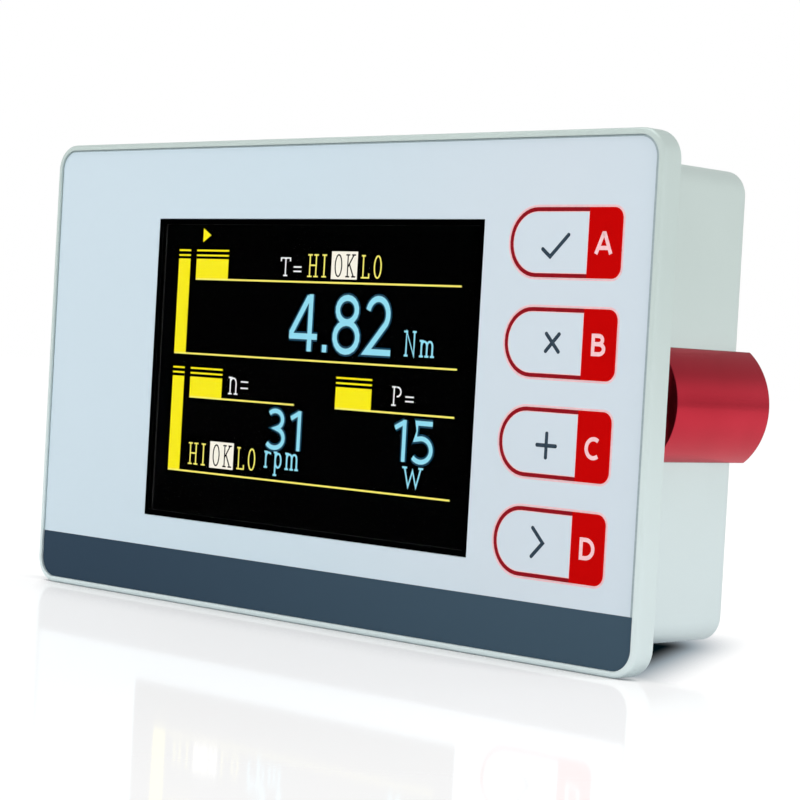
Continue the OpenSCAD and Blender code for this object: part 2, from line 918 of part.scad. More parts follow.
// Half-round clamp with the tongue that runs in the groove and the collar its screw bears on
module clamp(side) color(clamp_red) on_foot() {
    neck_in = slot_lip_t + tongue_gap;
    head_d = slot_head_d - 2 * tongue_gap;
    mirror([side, 0, 0])
        difference() {
            union() {
                slab(clamp_front, clamp_len) intersection() {
                    translate([clamp_flat_x + clamp_sag - clamp_r, 0])
                        circle(clamp_r);
                    translate([clamp_flat_x, -clamp_h])
                        square(2 * clamp_h);
                }
                slab(tongue_front, tongue_len) {
                    translate([body_w / 2 - neck_in - head_d / 2, 0])
                        square([head_d, slot_head_h - 2 * tongue_gap], center = true);
                    translate([clamp_flat_x - neck_in / 2, 0])
                        square([2 * neck_in, slot_mouth_h - 2 * tongue_gap], center = true);
                }
                bar(clamp_screw_x, 0, boss_front, clamp_end - boss_front, clamp_boss_r);
            }
            bar(clamp_screw_x, 0, clamp_front - overrun, clamp_len + 2 * overrun, m3_r + shank_gap);
            bar(clamp_screw_x, 0, clamp_end - counterbore_t, counterbore_t + overrun,
                m3_head_r + shank_gap);
        }
}

// Clamp screw with a low head and a hexagonal socket
module clamp_screw(side) color(metal_grey) on_foot() {
    seat = clamp_end - counterbore_t;
    socket_depth = m3_head_t * drive_t_share + shank_gap;
    mirror([side, 0, 0])
        difference() {
            union() {
                bar(clamp_screw_x, 0, clamp_screw_tip, seat - clamp_screw_tip, m3_r);
                bar(clamp_screw_x, 0, seat, m3_head_t, m3_head_r);
            }
            translate([clamp_screw_x, clamp_end + overrun, 0])
                rotate([90, 0, 0])
                    cylinder(h = socket_depth + overrun, r = m3_head_r * drive_share, $fn = 6);
        }
}

// Collar staked on a clamp screw in front of the tongue, which draws the clamp back
module screw_collar(side) color(metal_grey) on_foot() {
    mirror([side, 0, 0])
        difference() {
            bar(clamp_screw_x, 0, collar_front, collar_t, collar_r);
            bar(clamp_screw_x, 0, collar_front - overrun, collar_t + 2 * overrun, m3_r + thread_gap);
        }
}

bezel_frame();
front_overlay();
display_window();
window_tape();
display_glass();
display_tray();
display_board();
key_piece(0);  // key_a
key_piece(1);  // key_b
key_piece(2);  // key_c
key_piece(3);  // key_d
switch_button(0);  // switch_button_a
switch_button(1);  // switch_button_b
switch_button(2);  // switch_button_c
switch_button(3);  // switch_button_d
switch_bodies();
keypad_board();
keypad_screws();
keypad_header();
board_spacers();
spacer_screws();
main_board();
display_cable();
cable_sockets();
power_module();
alarm_relays();
filter_capacitors();
board_chips();
terminal_strip(1);  // terminal_strip_upper
terminal_strip(-1);  // terminal_strip_lower
terminal_washers();
terminal_screws();
panel_gasket();
housing_sleeve();
rear_cover();
case_screws();
rail_nuts();
rail_pins();
clamp(1);  // clamp_left
clamp(0);  // clamp_right
clamp_screw(1);  // clamp_screw_left
clamp_screw(0);  // clamp_screw_right
screw_collar(1);  // screw_collar_left
screw_collar(0);  // screw_collar_right
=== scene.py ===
# %% [markdown]
# # The panel meter of a rotary torque sensor
# A torque sensor needs something that shows what it measures. This is that
# piece: a meter that sits in a panel, with a colour display, four keys and a
# red clamp on each side. Its solids come from a CAD model as a fixed frame.
# Here they get their finishes, their print, and the picture on the display.

# %% Load the frame
import math

import bmesh
import bpy
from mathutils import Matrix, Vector


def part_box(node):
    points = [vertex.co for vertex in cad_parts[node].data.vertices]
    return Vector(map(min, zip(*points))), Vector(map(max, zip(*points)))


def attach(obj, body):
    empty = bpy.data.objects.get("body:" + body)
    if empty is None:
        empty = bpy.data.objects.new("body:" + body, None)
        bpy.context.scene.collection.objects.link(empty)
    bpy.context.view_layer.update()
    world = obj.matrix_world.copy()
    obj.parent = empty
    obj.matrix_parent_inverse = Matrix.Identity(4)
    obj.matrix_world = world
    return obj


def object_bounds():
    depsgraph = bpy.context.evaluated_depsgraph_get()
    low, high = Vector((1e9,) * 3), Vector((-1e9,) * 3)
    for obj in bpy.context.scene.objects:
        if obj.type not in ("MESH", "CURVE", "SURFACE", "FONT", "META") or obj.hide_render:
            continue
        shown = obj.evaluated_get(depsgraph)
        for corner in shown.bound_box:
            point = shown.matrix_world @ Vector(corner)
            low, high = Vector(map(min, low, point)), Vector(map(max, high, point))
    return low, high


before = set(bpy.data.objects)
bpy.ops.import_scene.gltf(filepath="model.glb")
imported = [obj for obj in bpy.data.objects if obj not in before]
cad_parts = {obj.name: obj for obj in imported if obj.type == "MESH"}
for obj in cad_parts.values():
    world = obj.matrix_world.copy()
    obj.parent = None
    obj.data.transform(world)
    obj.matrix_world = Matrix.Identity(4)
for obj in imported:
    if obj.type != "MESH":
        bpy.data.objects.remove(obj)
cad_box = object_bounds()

mm = 0.001
cad_size = [round((high - low) / mm, 2) for low, high in zip(*cad_box)]
print("solids:", len(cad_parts), " size in mm:", cad_size)

# %% [markdown]
# ## Sums on a material's nodes
# A finish is a small network of nodes. Written with one call for each node and
# each link, even a short sum fills a page. A wire that knows Python's own signs
# keeps it readable: 1 - mask adds one Math node, and the eye can follow it.
# Every other node comes from one method, add, which sets the node's own
# settings first and its sockets after that.

# %% A wire, a tree of nodes and a finish
class Wire:
    """One output of a node, on which Python's signs work."""

    def __init__(self, nodes, socket):
        self.nodes = nodes
        self.socket = socket

    def math(self, operation, first, second=0.0, clamp=False):
        settings = {"operation": operation, "use_clamp": clamp}
        return self.nodes.add("ShaderNodeMath", settings, {0: first, 1: second})

    def __add__(self, other):
        return self.math("ADD", self, other)

    def __radd__(self, other):
        return self.math("ADD", other, self)

    def __sub__(self, other):
        return self.math("SUBTRACT", self, other)

    def __rsub__(self, other):
        return self.math("SUBTRACT", other, self)

    def __mul__(self, other):
        return self.math("MULTIPLY", self, other)

    def __rmul__(self, other):
        return self.math("MULTIPLY", other, self)

    def __gt__(self, other):
        return self.math("GREATER_THAN", self, other)

    def __lt__(self, other):
        return self.math("LESS_THAN", self, other)

    def __abs__(self):
        return self.math("ABSOLUTE", self)

    def clamped(self):
        return self.math("ADD", self, 0.0, clamp=True)

    def step(self, start, end):
        """0 before start, 1 after end, and a smooth way between them."""
        return self.nodes.add("ShaderNodeMapRange", {"interpolation_type": "SMOOTHSTEP"},
                              {"Value": self, "From Min": start, "From Max": end})


class Nodes:
    """A tree of nodes that grows by one node at a time."""

    def __init__(self, tree):
        self.tree = tree

    def join(self, socket, value):
        """Links a wire to a socket, or sets the socket to a number or a colour."""
        if isinstance(value, Wire):
            self.tree.links.new(value.socket, socket)
        elif hasattr(value, "__len__") and socket.type == "RGBA" and len(value) == 3:
            socket.default_value = (*value, 1)
        else:
            socket.default_value = value

    def add(self, kind, settings=None, inputs=None, out=0):
        """A new node with its settings, such as a ramp's stops, and what feeds its inputs."""
        node = self.tree.nodes.new(kind)
        for name, value in (settings or {}).items():
            if name == "stops":
                ramp = node.color_ramp
                for i, (place, colour) in enumerate(value):
                    stop = ramp.elements[i] if i < 2 else ramp.elements.new(place)
                    stop.position, stop.color = place, (*colour, 1)
            else:
                setattr(node, name, value)
        for key, value in (inputs or {}).items():
            self.join(node.inputs[key], value)
        return Wire(self, node.outputs[out])


class Finish(Nodes):
    """A material, made by adding nodes to its Principled shader."""

    def __init__(self, name, **constants):
        self.material = bpy.data.materials.new(name)
        self.material.use_nodes = True
        super().__init__(self.material.node_tree)
        self.shader = self.tree.nodes["Principled BSDF"]
        for socket, value in constants.items():
            self.feed(socket.replace("_", " "), value)

    def feed(self, socket, value):
        self.join(self.shader.inputs[socket], value)

    def place(self, stretch=(1, 1, 1), centre=(0, 0, 0)):
        """The point on the piece in metres, counted from centre and then stretched."""
        point = self.add("ShaderNodeTexCoord", out="Object")
        moved = self.add("ShaderNodeVectorMath", {"operation": "SUBTRACT"}, {0: point, 1: centre})
        return self.add("ShaderNodeMapping", {}, {"Vector": moved, "Scale": stretch})

    def axes(self, point):
        """A point's x, y and z as three wires."""
        split = self.add("ShaderNodeSeparateXYZ", {}, {0: point})
        outputs = split.socket.node.outputs
        return [Wire(self, outputs[i]) for i in range(3)]

    def grain(self, size, point=None, detail=3.0):
        """Noise from 0 to 1 whose lumps are about size metres wide."""
        point = point or self.place()
        inputs = {"Vector": point, "Scale": 1 / size, "Detail": detail, "Roughness": 0.55}
        return self.add("ShaderNodeTexNoise", {}, inputs)

    def mix(self, share, first, second):
        """The first colour where share is 0 and the second where it is 1."""
        inputs = {0: share, 6: first, 7: second}
        return self.add("ShaderNodeMix", {"data_type": "RGBA"}, inputs, out=2)

    def edges(self, radius):
        """How near a point is to a sharp edge, from 0 to 1, and the normal that is turned there."""
        turned = self.add("ShaderNodeBevel", {"samples": 4}, {"Radius": radius})
        flat = self.add("ShaderNodeNewGeometry", out="Normal")
        dot = {"operation": "DOT_PRODUCT"}
        same = self.add("ShaderNodeVectorMath", dot, {0: turned, 1: flat}, out="Value")
        return (1 - same).step(0.0, 0.2), turned

    def bump(self, height, depth, normal=None):
        """Raises the surface by up to depth metres where height is 1."""
        inputs = {"Height": height, "Distance": depth}
        if normal:
            inputs["Normal"] = normal
        self.feed("Normal", self.add("ShaderNodeBump", {}, inputs))


print("a wire knows +, - and *, and a tree of nodes adds any other node")

# %% [markdown]
# ## Silver of the bezel and the housing
# The bezel is die-cast and the housing extruded. Both are blasted with fine
# beads and anodised in a cool silver with a hint of green. Blasting leaves a
# tiny even grain, which is why a highlight on them has no hard edge. So the
# finish is half metal and half rough, with a grain of a quarter of a
# millimetre, slow clouds in its colour, and brighter metal along the edges.
# Light is painted into its colour too: it is painted paler towards the table,
# where a white table would throw light up at it.

# %% Silver
BEAD = 0.28 * mm
TABLE_LIGHT_FROM, TABLE_LIGHT_TO = 2 * mm, 66 * mm


def silver(name, table_lit_low_tint, less_lit_high_tint, lines):
    """Anodised metal. The lines, from 0 to 1, show how it was drawn along Y."""
    finish = Finish(name, Roughness=0.4, Metallic=0.45)
    clouds = finish.grain(22 * mm, detail=2.0)
    beads = finish.grain(BEAD, detail=2.0)
    worn, turned = finish.edges(0.3 * mm)
    _, _, z = finish.axes(finish.place())
    # Painted light: the colour is paler near the table, as a white table's bounce light would make
    # it.
    tint = finish.mix(z.step(TABLE_LIGHT_FROM, TABLE_LIGHT_TO), table_lit_low_tint, less_lit_high_tint)
    shade = finish.mix(clouds.step(0.3, 0.7) * 0.06, tint, (0.45, 0.52, 0.50))
    finish.feed("Base Color", finish.mix(worn * 0.12, shade, (0.92, 0.96, 0.96)))
    finish.feed("Roughness", 0.42 + 0.1 * beads + 0.05 * clouds - 0.06 * worn)
    drawn = finish.grain(0.5 * mm, finish.place(stretch=(1, 0.02, 1)), detail=2.0)
    finish.bump(beads + lines * drawn, 0.006 * mm, turned)
    return finish


cast_silver = silver("cast_silver", (0.755, 0.862, 0.865), (0.61, 0.71, 0.68), 0.0)
drawn_silver = silver("drawn_silver", (0.765, 0.87, 0.88), (0.62, 0.715, 0.685), 0.7)
print("silver finishes:", cast_silver.material.name, drawn_silver.material.name)

# %% [markdown]
# ## Red anodising on the clamps
# The clamps are cut from a drawn bar and dyed red as they are anodised. The
# dye lies under a clear skin, so the colour stays deep while the skin shines.
# Fine lines run along the bar, where it was drawn.

# %% Red anodising
def red_bar():
    finish = Finish("red_anodised", Metallic=0.9)
    lines = finish.grain(0.35 * mm, finish.place(stretch=(1, 0.015, 1)), detail=3.0)
    clouds = finish.grain(9 * mm, detail=1.0)
    worn, turned = finish.edges(0.25 * mm)
    red = finish.mix(clouds, (0.47, 0.012, 0.03), (0.56, 0.02, 0.044))
    finish.feed("Base Color", finish.mix(worn * 0.3, red, (0.7, 0.08, 0.12)))
    finish.feed("Roughness", 0.2 + 0.1 * lines)
    finish.bump(lines, 0.005 * mm, turned)
    return finish


red_anodised = red_bar()
print("red finish:", red_anodised.material.name)

# %% [markdown]
# ## The overlay and its inks
# The front is a printed film. The print is on its rear side on most meters,
# and the film's own surface has a fine silk texture that hides fingerprints.
# The inks are separate thin pieces here, because an edge made of geometry
# stays crisp at any distance, where an edge drawn by a texture goes soft.

# %% Film and inks
SILK = 0.16 * mm
KEYS_MIDDLE = (52 * mm, 0, 42 * mm)


def film(name, tint, keys_tint):
    """The overlay's film, which has another tint round the keys."""
    finish = Finish(name, Specular_IOR_Level=0.35)
    silk = finish.grain(SILK, detail=1.0)
    x, _, z = finish.axes(finish.place(centre=KEYS_MIDDLE))
    near_keys = 1 - (abs(x) * 14 + abs(z) * 6).step(0.1, 1.1)
    clouds = finish.grain(30 * mm, detail=1.0)
    share = (near_keys * 0.8 + clouds * 0.2).clamped()
    finish.feed("Base Color", finish.mix(share, tint, keys_tint))
    finish.feed("Roughness", 0.42 + 0.1 * silk)
    finish.bump(silk, 0.003 * mm)
    return finish


def ink(name, tint, second, grain=0.5):
    """A flat ink whose dots, grain mm wide, have two tints."""
    finish = Finish(name, Specular_IOR_Level=0.02)
    dots = finish.grain(grain * mm, detail=2.0)
    finish.feed("Base Color", finish.mix(dots.step(0.35, 0.65), tint, second))
    finish.feed("Roughness", 0.45 + 0.12 * dots)
    finish.bump(dots, 0.002 * mm)
    return finish


def band_ink(left_tint, right_tint):
    """An even ink that grows paler from left to right."""
    finish = Finish("slate_ink", Specular_IOR_Level=0.02)
    x, _, _ = finish.axes(finish.place())
    silk = finish.grain(SILK, detail=1.0)
    share = (x.step(-70 * mm, 70 * mm) + 0.06 * (silk - 0.5)).clamped()
    finish.feed("Base Color", finish.mix(share, left_tint, right_tint))
    finish.feed("Roughness", 0.42 + 0.1 * silk)
    finish.bump(silk, 0.002 * mm)
    return finish


pale_film = film("pale_film", (0.62, 0.745, 0.82), (0.665, 0.745, 0.81))
slate_ink = band_ink((0.033, 0.059, 0.091), (0.053, 0.091, 0.127))
line_ink = ink("line_ink", (0.26, 0.006, 0.012), (0.30, 0.008, 0.014))
red_ink = ink("red_ink", (0.56, 0.0004, 0.0005), (0.58, 0.0008, 0.0008), 0.25)
symbol_ink = ink("symbol_ink", (0.030, 0.050, 0.072), (0.040, 0.064, 0.09))
letter_ink = ink("letter_ink", (0.97, 0.58, 0.61), (1.0, 0.64, 0.66))
print("film and inks:", [made.material.name for made in (pale_film, slate_ink, red_ink)])

# %% [markdown]
# ## Window, display and what it lights
# The display is black glass that lights up where its picture is, and a clear
# window lies over it. The window is coated against reflections, so it stays
# black in a white room: its index of refraction is set low. The lit marks
# emit their colour, and a fine grid of dark lines stands for the pixels.

# %% Window and display
PIXEL = 0.24 * mm


def clear_window():
    finish = Finish("clear_window", Base_Color=(0.96, 0.97, 0.98), IOR=1.02,
                    Transmission_Weight=1.0)
    smear = finish.grain(18 * mm, detail=2.0)
    finish.feed("Roughness", 0.01 + 0.02 * smear)
    return finish


def black_glass():
    finish = Finish("black_glass", Specular_IOR_Level=0.0)
    cells = finish.grain(0.3 * mm, detail=1.0)
    black = finish.mix(cells, (0.0001, 0.0001, 0.00015), (0.0003, 0.0003, 0.0004))
    finish.feed("Base Color", black)
    finish.feed("Roughness", 0.18 + 0.06 * cells)
    return finish


def lit(name, tint):
    """A colour that the display shows, with the grid of its pixels."""
    finish = Finish(name, Base_Color=(0, 0, 0), Roughness=0.3, Specular_IOR_Level=0.1,
                    Emission_Strength=1.0)
    x, _, z = finish.axes(finish.place(stretch=(1 / PIXEL, 1, 1 / PIXEL)))
    gap_x = abs(x.math("FRACT", x) - 0.5) > 0.44
    gap_z = abs(z.math("FRACT", z) - 0.5) > 0.44
    gap = x.math("MAXIMUM", gap_x, gap_z)
    finish.feed("Emission Color", finish.mix(gap * 0.15, tint, (0, 0, 0)))
    return finish


window_finish = clear_window()
glass_finish = black_glass()
yellow_light = lit("yellow_light", (1.0, 0.87, 0.0))
pale_yellow_light = lit("pale_yellow_light", (1.0, 0.90, 0.16))
cyan_light = lit("cyan_light", (0.30, 0.74, 0.89))
glow_light = lit("glow_light", (0.001, 0.045, 0.09))
white_light = lit("white_light", (0.95, 0.95, 0.95))
cream_light = lit("cream_light", (1.0, 0.95, 0.82))
print("display:", [made.material.name for made in (window_finish, glass_finish, cyan_light)])

# %% [markdown]
# ## Plastics, rubber and boards
# Moulded plastic has a spark-eroded texture, a little coarser than blasted
# metal, and its edges shine where hands have rubbed them. A circuit board is
# fibreglass under green lacquer, with copper paths that show as paler lines.

# %% Plastics, rubber, boards
PIN_PITCH = 2.54 * mm
WIRE_PITCH = 1.27 * mm


def moulded(name, tint, grain, depth, rough):
    """A moulded surface. The grain's width and depth are in mm."""
    finish = Finish(name)
    spark = finish.grain(grain * mm, detail=3.0)
    clouds = finish.grain(12 * mm, detail=1.0)
    worn, turned = finish.edges(0.2 * mm)
    lifted = [c + 0.03 for c in tint]
    share = (worn * 0.6 + clouds * 0.25).clamped()
    finish.feed("Base Color", finish.mix(share, tint, lifted))
    finish.feed("Roughness", rough + 0.12 * spark - 0.12 * worn)
    finish.bump(spark, depth * mm, turned)
    return finish


def circuit_board():
    finish = Finish("board_green", Roughness=0.35)
    x, _, z = finish.axes(finish.place(stretch=(1 / PIN_PITCH, 1, 1 / PIN_PITCH)))
    rows = abs(z.math("FRACT", z) - 0.5) < 0.09
    columns = abs(x.math("FRACT", x) - 0.5) < 0.09
    areas = finish.grain(7 * mm, detail=0.0)
    paths = rows * (areas > 0.52) + columns * (areas < 0.44)
    weave = finish.grain(0.4 * mm, detail=1.0)
    lacquer = finish.mix(weave, (0.006, 0.085, 0.03), (0.012, 0.11, 0.042))
    finish.feed("Base Color", finish.mix(paths.clamped(), lacquer, (0.03, 0.22, 0.08)))
    finish.feed("Roughness", 0.28 + 0.15 * weave)
    finish.bump(paths.clamped() + 0.2 * weave, 0.03 * mm)
    return finish


def ribbon_cable():
    finish = Finish("ribbon", Roughness=0.45)
    x, _, _ = finish.axes(finish.place(stretch=(1 / WIRE_PITCH, 1, 1)))
    groove_and_shade = abs(x.math("FRACT", x) - 0.5).step(0.3, 0.5)
    # Painted shade: the grooves between the wires are painted darker, besides being sunk by the
    # bump.
    finish.feed("Base Color", finish.mix(groove_and_shade, (0.30, 0.32, 0.34), (0.12, 0.13, 0.14)))
    finish.bump(1 - groove_and_shade, 0.12 * mm)
    return finish


black_moulded = moulded("black_moulded", (0.012, 0.012, 0.013), 0.25, 0.012, 0.45)
terminal_black = moulded("terminal_black", (0.014, 0.014, 0.015), 0.3, 0.016, 0.42)
rubber = moulded("black_rubber", (0.008, 0.008, 0.008), 0.5, 0.02, 0.7)
foam_tape = moulded("foam_tape", (0.01, 0.01, 0.011), 0.12, 0.03, 0.85)
board = circuit_board()
ribbon = ribbon_cable()
print("plastics:", black_moulded.material.name, rubber.material.name, board.material.name)

# %% [markdown]
# ## Bright metals
# Screws are turned and zinc plated, washers nickel plated, spacers are brass
# bar and the capacitors' cans drawn aluminium. All are metal, with a grain
# that follows how each was made and a colour that shifts slowly.

# %% Metals
def bright_metal(name, tint, rough, stretch, grain=0.25):
    """A bare metal. The stretch is small along the lines that its making left."""
    finish = Finish(name, Metallic=1.0)
    lines = finish.grain(grain * mm, finish.place(stretch=stretch), detail=3.0)
    clouds = finish.grain(3 * mm, detail=2.0)
    worn, turned = finish.edges(0.12 * mm)
    shade = finish.mix(clouds, [c * 0.82 for c in tint], tint)
    bright = [min(1, c * 1.25) for c in tint]
    finish.feed("Base Color", finish.mix(worn * 0.6, shade, bright))
    finish.feed("Roughness", rough + 0.15 * lines)
    finish.bump(lines, 0.004 * mm, turned)
    return finish


zinc = bright_metal("zinc", (0.62, 0.64, 0.66), 0.25, (1, 0.1, 1))
nickel = bright_metal("nickel", (0.72, 0.69, 0.63), 0.18, (1, 0.1, 1))
brass = bright_metal("brass", (0.78, 0.56, 0.24), 0.22, (1, 0.1, 1))
can_metal = bright_metal("can_metal", (0.74, 0.76, 0.79), 0.3, (0.05, 1, 1))
sheet_steel = bright_metal("sheet_steel", (0.60, 0.61, 0.62), 0.35, (0.04, 1, 1), 0.4)
print("metals:", zinc.material.name, nickel.material.name, brass.material.name)

# %% [markdown]
# ## Dressing the solids
# Most solids already have the right shape, so they keep it and only change
# finish. Each name here is a solid of the frame.

# %% Dress the solids
dress = {
    "bezel_frame": cast_silver,
    "housing_sleeve": drawn_silver,
    "rear_cover": cast_silver,
    "front_overlay": pale_film,
    "display_window": window_finish,
    "display_glass": glass_finish,
    "window_tape": foam_tape,
    "display_tray": sheet_steel,
    "display_cable": ribbon,
    "panel_gasket": rubber,
    "board_spacers": brass,
    "filter_capacitors": can_metal,
    "terminal_strip_upper": terminal_black,
    "terminal_strip_lower": terminal_black,
    "terminal_screws": nickel,
    "terminal_washers": nickel,
    "clamp_left": red_anodised,
    "clamp_right": red_anodised,
}
for letter in "abcd":
    dress["key_" + letter] = pale_film
    dress["switch_button_" + letter] = black_moulded
for name in ("display_board", "keypad_board", "main_board"):
    dress[name] = board
for name in ("keypad_header", "cable_sockets", "power_module", "alarm_relays", "board_chips",
             "switch_bodies"):
    dress[name] = black_moulded
for name in ("keypad_screws", "spacer_screws", "case_screws", "rail_nuts", "rail_pins"):
    dress[name] = zinc
for side in ("left", "right"):
    dress["clamp_screw_" + side] = zinc
    dress["screw_collar_" + side] = zinc
for name, finish in dress.items():
    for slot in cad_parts[name].material_slots:
        slot.material = finish.material
print("dressed", len(dress), "solids; still bare:", sorted(set(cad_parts) - set(dress)))

# %% [markdown]
# ## Thin printed shapes
# A printed shape is drawn flat, as it would be on paper, and then given the
# thickness of a layer of ink. A flat face with its corners bevelled makes a
# rounded shape, and an inset of it makes an outline.

# %% Shapes for print
INK = 0.02
CORNER_STEPS = 10
SAME_POINT = 0.001 * mm


def flat_shape(left, right, bottom, top, radii=(0, 0, 0, 0)):
    """One upright face, in mm. The radii go round from the left bottom corner."""
    bm = bmesh.new()
    corners = [(left, bottom), (right, bottom), (right, top), (left, top)]
    verts = [bm.verts.new((x * mm, 0, z * mm)) for x, z in corners]
    bm.faces.new(verts)
    for vert, radius in zip(verts, radii):
        if radius:
            bmesh.ops.bevel(bm, geom=[vert], offset=radius * mm, segments=CORNER_STEPS,
                            profile=0.5, affect="VERTICES", material=-1)
    bmesh.ops.remove_doubles(bm, verts=bm.verts, dist=SAME_POINT)
    return bm


def ring(bm, width):
    """Leaves a ring of a face, as wide as width in mm, and gives the ring's inner corners."""
    bmesh.ops.inset_individual(bm, faces=bm.faces[:], thickness=width * mm, use_even_offset=True)
    middle = max(bm.faces, key=lambda face: face.calc_area())
    inside = middle.verts[:]
    bmesh.ops.delete(bm, geom=[middle], context="FACES_ONLY")
    return inside


def thicken(bm, back, front):
    """Moves a flat shape to its back and draws it out to its front, both in mm along Y."""
    bmesh.ops.translate(bm, verts=bm.verts, vec=(0, back * mm, 0))
    made = bmesh.ops.extrude_face_region(bm, geom=bm.faces[:], use_keep_orig=True)
    moved = [v for v in made["geom"] if isinstance(v, bmesh.types.BMVert)]
    bmesh.ops.translate(bm, verts=moved, vec=(0, (front - back) * mm, 0))
    bmesh.ops.recalc_face_normals(bm, faces=bm.faces)
    return bm


def joined(*shapes):
    """Several bmeshes as one."""
    whole = bmesh.new()
    for bm in shapes:
        mesh = bpy.data.meshes.new("part")
        bm.to_mesh(mesh)
        bm.free()
        whole.from_mesh(mesh)
        bpy.data.meshes.remove(mesh)
    return whole


def piece(name, bm, finish, body):
    """Makes the bmesh an object that rides on a body of the frame and fills a slot."""
    mesh = bpy.data.meshes.new(name)
    bm.to_mesh(mesh)
    bm.free()
    obj = bpy.data.objects.new(name, mesh)
    bpy.context.scene.collection.objects.link(obj)
    mesh.materials.append(finish.material)
    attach(obj, body)
    return obj


face_low, face_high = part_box("front_overlay")
film_y = face_low.y / mm
print("the film's front is at y =", round(film_y, 3), "mm")

# %% [markdown]
# ## The slate band
# A slate band is printed along the bottom of the face, as wide as the film,
# so its lower corners have the radius of the film's corners.

# %% Slate band
BAND_TOP = 9.2
FILM_CORNER = 3.45


def slate_band():
    left, right = face_low.x / mm, face_high.x / mm
    bm = flat_shape(left, right, face_low.z / mm, BAND_TOP, (FILM_CORNER, FILM_CORNER, 0, 0))
    return piece("slate_band", thicken(bm, film_y, film_y - INK), slate_ink, "root")


band = slate_band()
print("slate band:", len(band.data.polygons), "faces")

# %% [markdown]
# The film lies in a shallow recess, and the rim's shade leaves a dark line
# where it ends. That shadow is painted: a ring of shadow-grey colour along the
# film's edge. Its inner side is moved left and up, so that it is wider at the
# right, where the raised rim hides part of it. The slate band is dark enough,
# so the ring stops there.

# %% The film's edge
EDGE_LINE = 0.35
INNER_SHIFT = (-0.25 * mm, 0, 0.12 * mm)
# Painted shadow: this grey stands in for the rim's shade on the film's edge.
edge_painted_shadow = ink("edge_painted_shadow", (0.36, 0.44, 0.47), (0.40, 0.48, 0.51))


def film_edge():
    corners = (FILM_CORNER,) * 4
    bm = flat_shape(face_low.x / mm, face_high.x / mm, face_low.z / mm, face_high.z / mm, corners)
    bmesh.ops.translate(bm, verts=ring(bm, EDGE_LINE), vec=INNER_SHIFT)
    everything = bm.faces[:] + bm.edges[:] + bm.verts[:]
    bmesh.ops.bisect_plane(bm, geom=everything, plane_co=(0, 0, BAND_TOP * mm), plane_no=(0, 0, 1),
                           clear_inner=True)
    line = thicken(bm, film_y, film_y - 1.5 * INK)
    return piece("film_edge_painted_shadow", line, edge_painted_shadow, "root")


print("film edge:", len(film_edge().data.polygons), "faces")

# %% [markdown]
# ## The window's printed border
# A black border is printed round the window. It hides the window's edge and
# the pale edge of the film behind it, which a slanting look would show.

# %% Window border
BORDER = 0.85


def window_border():
    low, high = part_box("display_window")
    bm = flat_shape(low.x / mm, high.x / mm, low.z / mm, high.z / mm)
    ring(bm, BORDER)
    border = thicken(bm, low.y / mm, low.y / mm - INK)
    return piece("window_border", border, glass_finish, "root")


print("window border:", len(window_border().data.polygons), "faces")

# %% [markdown]
# ## Key marks
# Each key shows a red outline, round at the left, with a solid red field at
# its right. A letter stands on the red and a plain sign on the pale part. The
# marks move with their key, so they ride on its body. The signs are strokes:
# an edge is drawn along a path, as a pen is.

# %% Outline and red field
KEY_HALF_W = 10.95
KEY_HALF_H = 5.4
KEY_FIELD = 4.4
KEY_CORNER = 1.8
UNDER_EDGE = 0.12
KEY_RIM = 0.02
LINE = 0.62
HAIR = 0.01
key_middle = {}
for letter in "abcd":
    low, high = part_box("key_" + letter)
    key_middle[letter] = ((low.x + high.x) / 2 / mm, (low.z + high.z) / 2 / mm)


def key_ring(x, z, rim, line, field):
    """A ring of print inside a key's edge, in mm, which is solid at the right of x + field."""
    half_w, half_h = KEY_HALF_W - rim, KEY_HALF_H - rim
    radii = (half_h - HAIR, KEY_CORNER - rim, KEY_CORNER - rim, half_h - HAIR)
    bm = flat_shape(x - half_w, x + half_w, z - half_h, z + half_h, radii)
    bmesh.ops.inset_individual(bm, faces=bm.faces[:], thickness=line * mm, use_even_offset=True)
    everything = bm.faces[:] + bm.edges[:] + bm.verts[:]
    bmesh.ops.bisect_plane(bm, geom=everything, plane_co=((x + field) * mm, 0, 0),
                           plane_no=(1, 0, 0))
    widest = sorted(bm.faces, key=lambda face: face.calc_area())[-2:]
    bare = min(widest, key=lambda face: face.calc_center_median().x)
    bmesh.ops.delete(bm, geom=[bare], context="FACES_ONLY")
    return bm


def keep_side(bm, edge, right):
    """Keeps the faces on one side of x = edge, in mm."""
    other = [f for f in bm.faces if (f.calc_center_median().x > edge * mm) != right]
    bmesh.ops.delete(bm, geom=other, context="FACES")
    return bm


FIRST_LAYER = (film_y, film_y - INK)
SECOND_LAYER = (film_y - INK, film_y - 2 * INK)
for letter, (x, z) in key_middle.items():
    body, edge = "key_" + letter, x + KEY_FIELD
    under = key_ring(x, z, KEY_RIM, 2 * UNDER_EDGE + LINE, KEY_FIELD - UNDER_EDGE)
    line, field = (keep_side(key_ring(x, z, KEY_RIM + UNDER_EDGE, LINE, KEY_FIELD), edge, right)
                   for right in (False, True))
    piece(body + "_underprint", thicken(under, *FIRST_LAYER), letter_ink, body)
    piece(body + "_outline", thicken(line, *SECOND_LAYER), line_ink, body)
    piece(body + "_field", thicken(field, *SECOND_LAYER), red_ink, body)
print("key outlines and fields:", sorted(key_middle))

# %% [markdown]
# A real key of this kind is a dome in the film, with no gap round it. This
# one must move, so it has a gap, and a lip printed in the pale red of the
# key's rim lies on the film and covers it.

# %% Lip round each key
LIP_CLEAR = 0.03
LIP_WIDTH = 0.17


